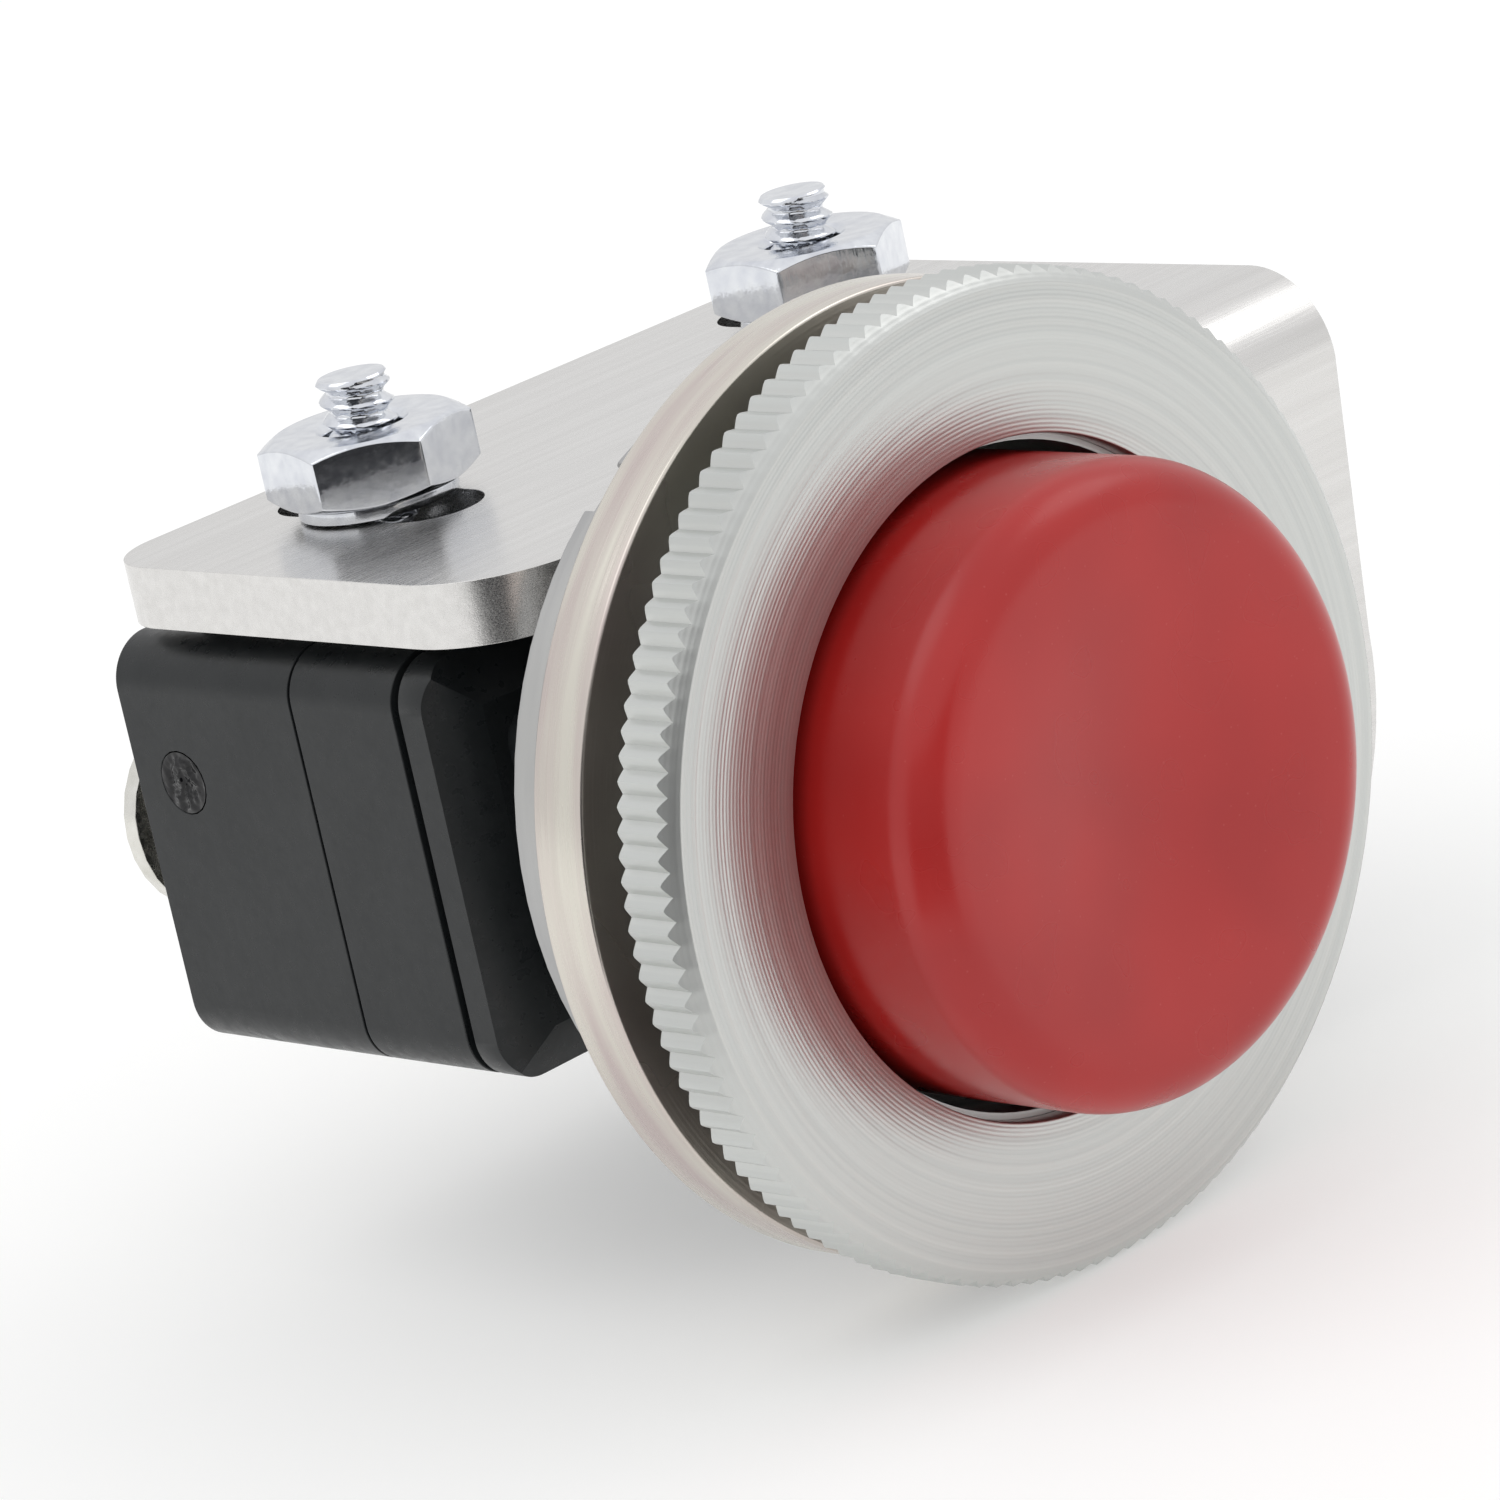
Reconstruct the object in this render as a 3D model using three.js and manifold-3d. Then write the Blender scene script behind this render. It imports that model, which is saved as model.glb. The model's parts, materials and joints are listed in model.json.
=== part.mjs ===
// Panel-mounted push-button buzzer: a red button in a threaded bushing, with a
// bracket that carries a basic snap-action switch behind it.
// Millimetres. The button's axis is Y and the button faces -Y; X runs along the
// switch, Z is up. The origin is on the button's axis, on the bezel's rear face.
import * as THREE from 'three';
import { mergeVertices } from 'three/addons/utils/BufferGeometryUtils.js';
import Module from 'manifold-3d';

const wasm = await Module();
wasm.setup();

// ---------- clearances ----------
const SEAT = 0.05; // between faces that are clamped together
const FIT = 0.3; // between a piece and the hole that it moves or drops into
const EPS = 1; // how far a cutting tool runs past what it cuts

// ---------- bezel, panel space and rings ----------
const BEZEL_BAND = 5.2; // from the bushing out to the knurl's crests
const BEZEL_GAP = 0.72; // between the button and the bezel's bore
const BEZEL_THICKNESS = 2.8;
const BEZEL_CHAMFER = 0.25;
const BEZEL_LIP = 1.0; // the front lip that stands over the bushing's edge
const KNURL_TEETH = 132;
const KNURL_DEPTH = 0.36;
const PANEL_THICKNESS = 2.31;
const WASHER_BAND = 4.76; // from the bushing out to the washer's rim
const WASHER_THICKNESS = 2.63;
const JAM_NUT_BAND = 1.8; // from the bushing out to the nut's rim
const JAM_NUT_THICKNESS = 1.85;
const JAM_NUT_SLOTS = 3;
const JAM_NUT_SLOT_WIDTH = 2.4;
const JAM_NUT_SLOT_DEPTH = 0.7;
const JAM_NUT_CHAMFER = 0.2;

// ---------- bushing and button ----------
const BUSHING_GAP = 0.45; // between the button's skirt and the bushing
const BUSHING_WALL = 1.4;
const BUSHING_SKIRT = 3.8; // behind the rear wall
const REAR_WALL = 1.6;
const TRAVEL_ROOM = 1.4; // left behind the button's skirt when it is pressed
const BUTTON_R = 12.35;
const BUTTON_PROUD = 5.95; // beyond the bezel's face
const BUTTON_RIM = 2.0;
const BUTTON_DISH = 0.8;
const BUTTON_WALL = 1.5;
const BUTTON_SKIRT = 1.2; // behind the origin
const BUTTON_BOSS_R = 3.6;
const BUTTON_BOSS_LENGTH = 4.6;
const BUTTON_TRAVEL = 2.0;
const STEM_R = 2.2;
const STEM_TIP_R = 1.6;
const STEM_SEAT = 4.0; // depth of the stem in the button's boss
const CLIP_R = 4.2;
const CLIP_THICKNESS = 0.5;
const CLIP_MOUTH = 2.0;
const SPRING_R = 5.4;
const SPRING_WIRE_R = 0.45;
const SPRING_TURNS = 5;

// ---------- bracket ----------
const PLATE = 2.6; // sheet thickness
const BEND_R = 3.8; // outside of the bend
const BRACKET_PAST_LEFT = 8.7; // from the left hole to the bracket's left edge
const BRACKET_PAST_RIGHT = 7.7;
const BRACKET_PAST_REAR = 7.9;
const BRACKET_CORNER_R = 3.0;
const BRACKET_FRONT_CORNER_R = 5.2;
const BRACKET_LUG_CORNER_R = 0.5;
const RELIEF = 0.6; // behind the bushing and the jam nut, and beside the nut
const LEG_BAND = 2.2; // from the bushing out to the leg's rim
const LEG_TAPER = 1.1;
const LOBE_DROP = 4.0; // from the button's axis down to the lobe's corner arc
const SLOT_WIDTH = 4.2;
const SLOT_LENGTH = 10.6;

// ---------- switch ----------
const SWITCH_LEFT = -13.5;
const SWITCH_WIDTH = 17.45;
const SWITCH_DROP = 0.7; // from the plate down to the case, for the insulating sheet
const SWITCH_HEIGHT = 24.2; // from the terminal face to the plunger's face
const REAR_CASE_DEPTH = 10.75;
const MIDDLE_CASE_DEPTH = 6.08;
const CASE_SEAM = 0.12;
const COVER_GROOVE = 0.45;
const COVER_RIM = 1.3; // full-size part of the front cover
const COVER_TAPER = 1.2;
const COVER_TAPER_INSET = 2.1;
const COVER_STEP = 0.8; // from the taper's edge to the raised front
const CASE_WALL = 2.0;
const CASE_CORNER_R = 2.0;
const CASE_CORNER_STEPS = 8;
const SHEET_INSET = 2.2; // of the insulating sheet from the case's outline
const NOSE_CORNER_R = 1.2;
const HOLE_SPACING = 25.4;
const HOLE_LEFT_END = 8.9; // from the switch's left end to the left hole
const HOLE_RIGHT_END = 8.7; // from the right hole to the switch's right end
const HOLE_REAR = 8.1; // from the terminal face to the holes
const HOLE_R = 2.1;
const HOLE_WALL = 1.1;
const PLUG_R = 1.3;
const PLUG_DEPTH = 1.1;
const PLUG_PROUD = 0.12;
const PLUG_FROM_REAR = 2.9;
const PLUG_UP = 2.3;

// ---------- switch works ----------
const PLUNGER_R = 1.9;
const PLUNGER_REAR_R = 1.4;
const PLUNGER_PROUD = 0.55;
const PLUNGER_COLLAR_R = 3.0;
const PLUNGER_COLLAR = 1.0;
const PLUNGER_TIP_CHAMFER = 0.57;
const PLUNGER_BLADE_GAP = 0.4; // left in front of the blade when pressed
const BLADE_THICKNESS = 0.3;
const BLADE_WIDTH = 5.2;
const BLADE_TAIL = 1.0; // behind its pivot
const CONTACT_SHORT = 3.8; // from the right hole back to the contacts
const CONTACT_R = 1.3;
const CONTACT_NECK_R = 0.78; // through the blade
const CONTACT_ARM_MARGIN = 0.2; // of the arm round the contact
const CONTACT_HEIGHT = 0.7;
const CONTACT_GAP_OPEN = 1.05;
const CONTACT_GAP_CLOSED = 0.15;
const STRIP = 1.0; // terminal sheet
const STRIP_WIDTH = 4.2;
const STRIP_DROP = 5.5; // from the axis down to the strips
const TAB_WIDTH = 6.4;
const TAB_ABOVE = 3.8;
const OVERTRAVEL_R = 2.2;
const OVERTRAVEL_WIRE_R = 0.25;
const OVERTRAVEL_TURNS = 6;

// ---------- fasteners ----------
const SCREW_R = 1.5;
const SCREW_HEAD_R = 3.3;
const SCREW_HEAD = 1.8;
const SCREW_HEAD_TOP_R = 2.48;
const SCREW_HEAD_RIM = 0.81; // height of the head's straight side
const SCREW_TIP_CHAMFER = 0.3;
const SCREW_PROUD = 2.0; // above the nut
const SCREW_DRIVE = 1.0; // width of the head's slot
const SCREW_DRIVE_DEPTH = 0.9;
const NUT_FLATS = 7.6;
const NUT_THICKNESS = 2.7;
const NUT_CHAMFER = 0.4; // height at the corners
const NUT_FACE_R = 3.65;
const NUT_BORE_GAP = 0.15;
const LOCK_WASHER_R = 3.3;
const LOCK_WASHER_THICKNESS = 0.6;
const LOCK_WASHER_SPLIT = 0.6;
const NUT_TURN_LEFT = 19.5; // degrees
const NUT_TURN_RIGHT = 30;
const TERMINAL_SCREW_R = 1.5;
const TERMINAL_SCREW_DEPTH = 3.4;
const TERMINAL_HEAD_R = 2.9;
const TERMINAL_HEAD = 1.9;
const TERMINAL_HEAD_CHAMFER = 0.5;
const TERMINAL_DRIVE_DEPTH = 1.0;
const CUP_WASHER_R = 4.3;
const TERMINAL_DROP = 0.5; // from the axis down to the terminal screws
const CUP_WASHER_THICKNESS = 0.8;

// ---------- places worked out from the sizes ----------
const bushingBoreR = BUTTON_R + BUSHING_GAP;
const bushingR = bushingBoreR + BUSHING_WALL;
const bushingHoleR = bushingR + FIT;
const bezelBoreR = BUTTON_R + BEZEL_GAP;
const bezelR = bushingR + BEZEL_BAND;
const washerR = bushingR + WASHER_BAND;
const jamNutR = bushingR + JAM_NUT_BAND;
const legR = bushingR + LEG_BAND;
const legCornerR = legR - LOBE_DROP;
const bezelFace = -BEZEL_THICKNESS;
const buttonFront = bezelFace - BUTTON_PROUD;
const washerFront = PANEL_THICKNESS;
const washerRear = washerFront + WASHER_THICKNESS;
const legFront = washerRear + SEAT;
const legRear = legFront + PLATE;
const jamNutFront = legRear + SEAT;
const jamNutRear = jamNutFront + JAM_NUT_THICKNESS;
const bushingFront = bezelFace + BEZEL_LIP + SEAT;
const rearWallFront = BUTTON_SKIRT + BUTTON_TRAVEL + TRAVEL_ROOM;
const rearWallRear = rearWallFront + REAR_WALL;
const bushingRear = rearWallRear + BUSHING_SKIRT;
const switchTop = SWITCH_WIDTH / 2 - SWITCH_DROP;
const switchBottom = switchTop - SWITCH_WIDTH;
const plateBottom = switchTop + SWITCH_DROP + SEAT;
const plateTop = plateBottom + PLATE;
const bendStart = legFront + BEND_R;
const tabFront = Math.max(jamNutRear, bushingRear) + RELIEF;
const switchFront = tabFront;
const switchRear = switchFront + SWITCH_HEIGHT;
const holeY = switchRear - HOLE_REAR;
const leftHoleX = SWITCH_LEFT + HOLE_LEFT_END;
const holeXs = { left: leftHoleX, right: leftHoleX + HOLE_SPACING };
const switchRight = holeXs.right + HOLE_RIGHT_END;
const contactX = holeXs.right - CONTACT_SHORT;
const bracketLeft = holeXs.left - BRACKET_PAST_LEFT;
const bracketRight = holeXs.right + BRACKET_PAST_RIGHT;
const bracketRear = holeY + BRACKET_PAST_REAR;
const lugLeft = jamNutR + RELIEF;
const rearCaseFront = switchRear - REAR_CASE_DEPTH;
const middleCaseRear = rearCaseFront - CASE_SEAM;
const middleCaseFront = middleCaseRear - MIDDLE_CASE_DEPTH;
const coverRear = middleCaseFront - COVER_GROOVE;
const coverRimFront = coverRear - COVER_RIM;
const coverTaperFront = coverRimFront - COVER_TAPER;
const cavityLeft = SWITCH_LEFT + CASE_WALL;
const cavityRight = switchRight - CASE_WALL;
const cavityTop = switchTop - CASE_WALL;
const cavityBottom = switchBottom + CASE_WALL;
const terminalXs = {
  common: (cavityLeft + holeXs.left - HOLE_R) / 2,
  open: (holeXs.left + holeXs.right) / 2,
  closed: (holeXs.right + HOLE_R + cavityRight) / 2,
};
const lockWasherBottom = plateTop + SEAT;
const nutBottom = lockWasherBottom + LOCK_WASHER_THICKNESS + SEAT;
const nutTop = nutBottom + NUT_THICKNESS;
const plungerTip = switchFront - PLUNGER_PROUD;
const openArm = rearCaseFront - FIT - STRIP;
const openFace = openArm - SEAT - CONTACT_HEIGHT;
const contactRear = openFace - CONTACT_GAP_OPEN;
const bladeRear = contactRear - CONTACT_HEIGHT;
const bladeFront = bladeRear - BLADE_THICKNESS;
const contactFront = bladeFront - CONTACT_HEIGHT;
const closedFace = contactFront - CONTACT_GAP_CLOSED;
const closedArm = closedFace - CONTACT_HEIGHT - SEAT - STRIP;
const contactHalf = CONTACT_R + CONTACT_ARM_MARGIN;
const tabRear = switchRear + SEAT + STRIP;

// ---------- materials ----------
const paint = (color, roughness, metalness) =>
  new THREE.MeshStandardMaterial({ color, roughness, metalness });
const looks = {
  redPlastic: paint(0xb81f22, 0.35, 0),
  satinAluminium: paint(0xc3c6c4, 0.45, 1),
  paleZinc: paint(0xc9bcb0, 0.35, 1),
  greyZinc: paint(0xa9a9a8, 0.4, 1),
  nickel: paint(0xd3d2cc, 0.28, 1),
  chrome: paint(0xdadce0, 0.18, 1),
  blackPlastic: paint(0x17191b, 0.42, 0),
  whitePlastic: paint(0xe4e2da, 0.5, 0),
  springSteel: paint(0x9a9c9e, 0.3, 1),
  brass: paint(0xb5934a, 0.32, 1),
  silver: paint(0xd9d8d3, 0.25, 1),
};

// ---------- shape helpers ----------

// A closed, outward-facing manifold from a geometry whose vertices may be doubled.
function solid(geometry) {
  const bare = geometry.index ? geometry.toNonIndexed() : geometry.clone();
  bare.deleteAttribute('normal');
  bare.deleteAttribute('uv');
  const merged = mergeVertices(bare, 1e-5);
  const points = Float32Array.from(merged.attributes.position.array);
  const index = merged.index.array;
  const corner = (i) => new THREE.Vector3().fromArray(points, 3 * i);
  const triangles = [];
  let volume = 0;
  for (let i = 0; i < index.length; i += 3) {
    const [a, b, c] = [index[i], index[i + 1], index[i + 2]];
    if (a === b || b === c || c === a) continue;
    triangles.push([a, b, c]);
    volume += corner(a).dot(corner(b).cross(corner(c)));
  }
  if (volume < 0) triangles.forEach((t) => t.reverse());
  return new wasm.Manifold(new wasm.Mesh({
    numProp: 3,
    vertProperties: points,
    triVerts: Uint32Array.from(triangles.flat()),
  }));
}

function geometryOf(manifold) {
  const { vertProperties, triVerts, numProp } = manifold.getMesh();
  const points = new Float32Array((vertProperties.length / numProp) * 3);
  for (let i = 0; i < points.length / 3; i += 1) {
    points.set(vertProperties.subarray(i * numProp, i * numProp + 3), i * 3);
  }
  const geometry = new THREE.BufferGeometry();
  geometry.setAttribute('position', new THREE.BufferAttribute(points, 3));
  geometry.setIndex(new THREE.BufferAttribute(Uint32Array.from(triVerts), 1));
  geometry.computeVertexNormals();
  return geometry;
}

// A piece of the assembly: one named mesh.
function piece(name, manifold, material) {
  const mesh = new THREE.Mesh(geometryOf(manifold), material);
  mesh.name = name;
  return mesh;
}

const cut = (body, ...tools) => tools.reduce((left, tool) => left.subtract(tool), body);
const join = (first, ...others) => others.reduce((sum, other) => sum.add(other), first);

// A box between two corners.
function block(x0, x1, y0, y1, z0, z1) {
  const box = new THREE.BoxGeometry(x1 - x0, y1 - y0, z1 - z0);
  box.translate((x0 + x1) / 2, (y0 + y1) / 2, (z0 + z1) / 2);
  return solid(box);
}

// A body of revolution about a line parallel to Y, from [radius, y] points.
function turned(points, sides, x = 0, z = 0) {
  const profile = points.map(([r, y]) => new THREE.Vector2(r, y));
  return solid(new THREE.LatheGeometry(profile, sides).translate(x, 0, z));
}

function disc(r, y0, y1, sides, x = 0, z = 0) {
  return turned([[0, y0], [r, y0], [r, y1], [0, y1]], sides, x, z);
}

function tube(rIn, rOut, y0, y1, sides, x = 0, z = 0) {
  return turned([[rIn, y0], [rOut, y0], [rOut, y1], [rIn, y1], [rIn, y0]], sides, x, z);
}

// The same body of revolution standing along +Z at (x, y).
function upright(points, sides, x, y) {
  const profile = points.map(([r, z]) => new THREE.Vector2(r, z));
  return solid(new THREE.LatheGeometry(profile, sides).rotateX(Math.PI / 2).translate(x, y, 0));
}

function post(r, z0, z1, sides, x, y) {
  return upright([[0, z0], [r, z0], [r, z1], [0, z1]], sides, x, y);
}

// An outline drawn in XY, from z0 to z1.
function slabZ(shape, z0, z1, curveSegments = 8) {
  const options = { depth: z1 - z0, bevelEnabled: false, curveSegments };
  return solid(new THREE.ExtrudeGeometry(shape, options).translate(0, 0, z0));
}

// An outline drawn in XZ, from y0 to y1.
function slabY(shape, y0, y1, curveSegments = 8) {
  const options = { depth: y1 - y0, bevelEnabled: false, curveSegments };
  return solid(new THREE.ExtrudeGeometry(shape, options).rotateX(Math.PI / 2).translate(0, y1, 0));
}

// An outline drawn in YZ, from x0 to x1.
function slabX(shape, x0, x1, curveSegments = 8) {
  const options = { depth: x1 - x0, bevelEnabled: false, curveSegments };
  const geometry = new THREE.ExtrudeGeometry(shape, options);
  geometry.rotateZ(Math.PI / 2).rotateY(Math.PI / 2);
  return solid(geometry.translate(x0, 0, 0));
}

// A rectangle with round corners, r listed from (x0, y0) counter-clockwise.
function roundedRectangle(x0, x1, y0, y1, [r0, r1, r2, r3]) {
  const shape = new THREE.Shape();
  shape.moveTo(x0 + r0, y0);
  shape.lineTo(x1 - r1, y0);
  shape.absarc(x1 - r1, y0 + r1, r1, -Math.PI / 2, 0, false);
  shape.lineTo(x1, y1 - r2);
  shape.absarc(x1 - r2, y1 - r2, r2, 0, Math.PI / 2, false);
  shape.lineTo(x0 + r3, y1);
  shape.absarc(x0 + r3, y1 - r3, r3, Math.PI / 2, Math.PI, false);
  shape.lineTo(x0, y0 + r0);
  shape.absarc(x0 + r0, y0 + r0, r0, Math.PI, 1.5 * Math.PI, false);
  return shape;
}

class Helix extends THREE.Curve {
  constructor(radius, y0, y1, turns) {
    super();
    Object.assign(this, { radius, y0, y1, turns });
  }

  getPoint(t, target = new THREE.Vector3()) {
    const angle = 2 * Math.PI * this.turns * t;
    const y = this.y0 + (this.y1 - this.y0) * t;
    return target.set(this.radius * Math.cos(angle), y, this.radius * Math.sin(angle));
  }
}

// A compression spring about the button's axis, its wire between y0 and y1.
function spring(radius, wireR, y0, y1, turns, wireSides = 6, stepsPerTurn = 12) {
  const path = new Helix(radius, y0 + wireR, y1 - wireR, turns);
  const section = new THREE.Shape();
  section.absarc(0, 0, wireR, 0, 2 * Math.PI, false);
  const options = {
    steps: turns * stepsPerTurn,
    curveSegments: wireSides,
    bevelEnabled: false,
    extrudePath: path,
  };
  return solid(new THREE.ExtrudeGeometry(section, options));
}

// ---------- bezel, rings and bushing ----------

function bezelRing() {
  const outline = new THREE.Shape();
  const pitch = (2 * Math.PI) / KNURL_TEETH;
  for (let i = 0; i < KNURL_TEETH; i += 1) {
    const crest = [bezelR, i * pitch];
    const root = [bezelR - KNURL_DEPTH, (i + 0.5) * pitch];
    for (const [r, angle] of [crest, root]) {
      const [x, z] = [r * Math.cos(angle), r * Math.sin(angle)];
      if (i === 0 && r === bezelR) outline.moveTo(x, z);
      else outline.lineTo(x, z);
    }
  }
  outline.closePath();
  const knurled = slabY(outline, bezelFace, 0);
  const chamferR = bezelR - KNURL_DEPTH;
  const blank = turned([
    [0, bezelFace],
    [chamferR - BEZEL_CHAMFER, bezelFace],
    [bezelR + EPS, bezelFace + BEZEL_CHAMFER + KNURL_DEPTH + EPS],
    [bezelR + EPS, EPS],
    [0, EPS],
  ], KNURL_TEETH / 2);
  const bore = disc(bezelBoreR, bezelFace - EPS, EPS, 64);
  const thread = disc(bushingR + SEAT, bezelFace + BEZEL_LIP, EPS, 48);
  return piece('bezel_ring', cut(knurled.intersect(blank), bore, thread), looks.satinAluminium);
}

function panelWasher() {
  const ring = tube(bushingHoleR, washerR, washerFront, washerRear, 72);
  return piece('panel_washer', ring, looks.paleZinc);
}

function jamNut() {
  const bore = bushingR + SEAT;
  const ring = turned([
    [bore, jamNutFront],
    [jamNutR, jamNutFront],
    [jamNutR, jamNutRear - JAM_NUT_CHAMFER],
    [jamNutR - JAM_NUT_CHAMFER, jamNutRear],
    [bore, jamNutRear],
    [bore, jamNutFront],
  ], 72);
  const slots = [];
  for (let i = 0; i < JAM_NUT_SLOTS; i += 1) {
    const halfWidth = JAM_NUT_SLOT_WIDTH / 2;
    const slot = block(0, jamNutR + EPS, jamNutRear - JAM_NUT_SLOT_DEPTH, jamNutRear + EPS,
      -halfWidth, halfWidth);
    slots.push(slot.rotate([0, (i * 360) / JAM_NUT_SLOTS, 0]));
  }
  return piece('jam_nut', cut(ring, ...slots), looks.greyZinc);
}

function threadedBushing() {
  const shell = turned([
    [STEM_R + FIT, rearWallFront],
    [bushingBoreR, rearWallFront],
    [bushingBoreR, bushingFront],
    [bushingR, bushingFront],
    [bushingR, bushingRear],
    [bushingBoreR, bushingRear],
    [bushingBoreR, rearWallRear],
    [STEM_R + FIT, rearWallRear],
    [STEM_R + FIT, rearWallFront],
  ], 48);
  return piece('threaded_bushing', shell, looks.greyZinc);
}

// ---------- button ----------

const capCeiling = buttonFront + BUTTON_DISH + BUTTON_WALL;
const bossRear = capCeiling + BUTTON_BOSS_LENGTH;
const stemFront = bossRear - STEM_SEAT;
const stemRear = plungerTip - FIT;
const clipFront = rearWallRear + FIT / 2;

function buttonCap() {
  const flatR = BUTTON_R - BUTTON_RIM;
  const profile = [];
  const dishSteps = 6;
  for (let i = 0; i <= dishSteps; i += 1) {
    const r = (flatR * i) / dishSteps;
    profile.push([r, buttonFront + (BUTTON_DISH / 2) * (1 + Math.cos((Math.PI * r) / flatR))]);
  }
  const rimSteps = 5;
  for (let i = 1; i <= rimSteps; i += 1) {
    const angle = (i / rimSteps) * (Math.PI / 2);
    profile.push([
      flatR + BUTTON_RIM * Math.sin(angle),
      buttonFront + BUTTON_RIM * (1 - Math.cos(angle)),
    ]);
  }
  profile.push(
    [BUTTON_R, BUTTON_SKIRT],
    [BUTTON_R - BUTTON_WALL, BUTTON_SKIRT],
    [BUTTON_R - BUTTON_WALL, capCeiling],
    [BUTTON_BOSS_R, capCeiling],
    [BUTTON_BOSS_R, bossRear],
    [STEM_R + SEAT, bossRear],
    [STEM_R + SEAT, stemFront - SEAT],
    [0, stemFront - SEAT],
  );
  return piece('button_cap', turned(profile, 48), looks.redPlastic);
}

function plungerStem() {
  const clipRear = clipFront + CLIP_THICKNESS;
  const pin = turned([
    [0, stemFront],
    [STEM_R, stemFront],
    [STEM_R, clipFront - SEAT],
    [STEM_TIP_R, clipFront - SEAT],
    [STEM_TIP_R, clipRear + SEAT],
    [STEM_R, clipRear + SEAT],
    [STEM_R, clipRear + CLIP_THICKNESS],
    [STEM_TIP_R, clipRear + 2 * CLIP_THICKNESS],
    [STEM_TIP_R, stemRear],
    [0, stemRear],
  ], 20);
  return piece('plunger_stem', pin, looks.springSteel);
}

function retainingClip() {
  const ring = tube(STEM_TIP_R + SEAT, CLIP_R, clipFront, clipFront + CLIP_THICKNESS, 24);
  const mouth = block(-CLIP_MOUTH / 2, CLIP_MOUTH / 2, clipFront - EPS,
    clipFront + CLIP_THICKNESS + EPS, -CLIP_R - EPS, 0);
  return piece('retaining_clip', cut(ring, mouth), looks.springSteel);
}

function returnSpring() {
  const coil = spring(SPRING_R, SPRING_WIRE_R, capCeiling + FIT, rearWallFront - FIT,
    SPRING_TURNS);
  return piece('return_spring', coil, looks.springSteel);
}

// ---------- bracket ----------

function mountingBracket() {
  const [rear, front] = [BRACKET_CORNER_R, BRACKET_FRONT_CORNER_R];
  const tab = slabZ(
    roundedRectangle(bracketLeft, bracketRight, tabFront, bracketRear,
      [front, BRACKET_LUG_CORNER_R, rear, rear]),
    plateBottom,
    plateTop,
  );
  const legTop = plateTop - BEND_R;
  const armRear = tabFront + BEND_R;
  const profile = new THREE.Shape();
  profile.moveTo(legFront, -SWITCH_WIDTH / 2);
  profile.lineTo(legFront, legTop);
  profile.absarc(bendStart, legTop, BEND_R, Math.PI, Math.PI / 2, true);
  profile.lineTo(armRear, plateTop);
  profile.lineTo(armRear, plateBottom);
  profile.lineTo(bendStart, plateBottom);
  profile.absarc(bendStart, legTop, BEND_R - PLATE, Math.PI / 2, Math.PI, false);
  profile.lineTo(legRear, -SWITCH_WIDTH / 2);
  const lug = slabX(profile, lugLeft, bracketRight).intersect(
    slabY(lugOutline(), legFront - EPS, armRear + EPS),
  );
  const leg = slabY(legOutline(legTop), legFront, legRear, 10);
  const slots = Object.values(holeXs).map((x) => slotTool(x));
  const bore = disc(bushingHoleR, legFront - EPS, legRear + EPS, 48);
  return piece('mounting_bracket', cut(join(tab, lug, leg), bore, ...slots), looks.nickel);
}

// The lug's right edge leans in below the bend by the leg's taper.
function lugOutline() {
  const lobeZ = -LOBE_DROP;
  const shape = new THREE.Shape();
  shape.moveTo(lugLeft - EPS, plateTop + EPS);
  shape.lineTo(bracketRight, plateTop + EPS);
  shape.lineTo(bracketRight, plateTop - BEND_R);
  shape.lineTo(bracketRight - LEG_TAPER, lobeZ);
  shape.lineTo(lugLeft - EPS, lobeZ);
  return shape;
}

// Round the bushing, with a lobe on the right that carries the bend.
function legOutline(legTop) {
  const lobeRight = bracketRight - LEG_TAPER;
  const lobeZ = -LOBE_DROP;
  const shoulder = Math.asin(legTop / legR);
  const shape = new THREE.Shape();
  shape.moveTo(bracketRight, legTop);
  shape.lineTo(lobeRight, lobeZ);
  shape.absarc(lobeRight - legCornerR, lobeZ, legCornerR, 0, -Math.PI / 2, true);
  shape.lineTo(0, -legR);
  shape.absarc(0, 0, legR, -Math.PI / 2, shoulder - 2 * Math.PI, true);
  return shape;
}

function slotTool(x) {
  const halfWidth = SLOT_WIDTH / 2;
  const radii = [halfWidth, halfWidth, halfWidth, halfWidth];
  const halfLength = SLOT_LENGTH / 2;
  return slabZ(
    roundedRectangle(x - halfWidth, x + halfWidth, holeY - halfLength, holeY + halfLength, radii),
    plateBottom - EPS,
    plateTop + EPS,
    6,
  );
}

// ---------- switch housing ----------

// The switch's outline seen along the button's axis, drawn in by inset.
function caseOutline(inset, cornerR) {
  const r = [cornerR, cornerR, cornerR, cornerR];
  const [bottom, top] = [switchBottom + inset, switchTop - inset];
  return roundedRectangle(SWITCH_LEFT + inset, switchRight - inset, bottom, top, r);
}

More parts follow.
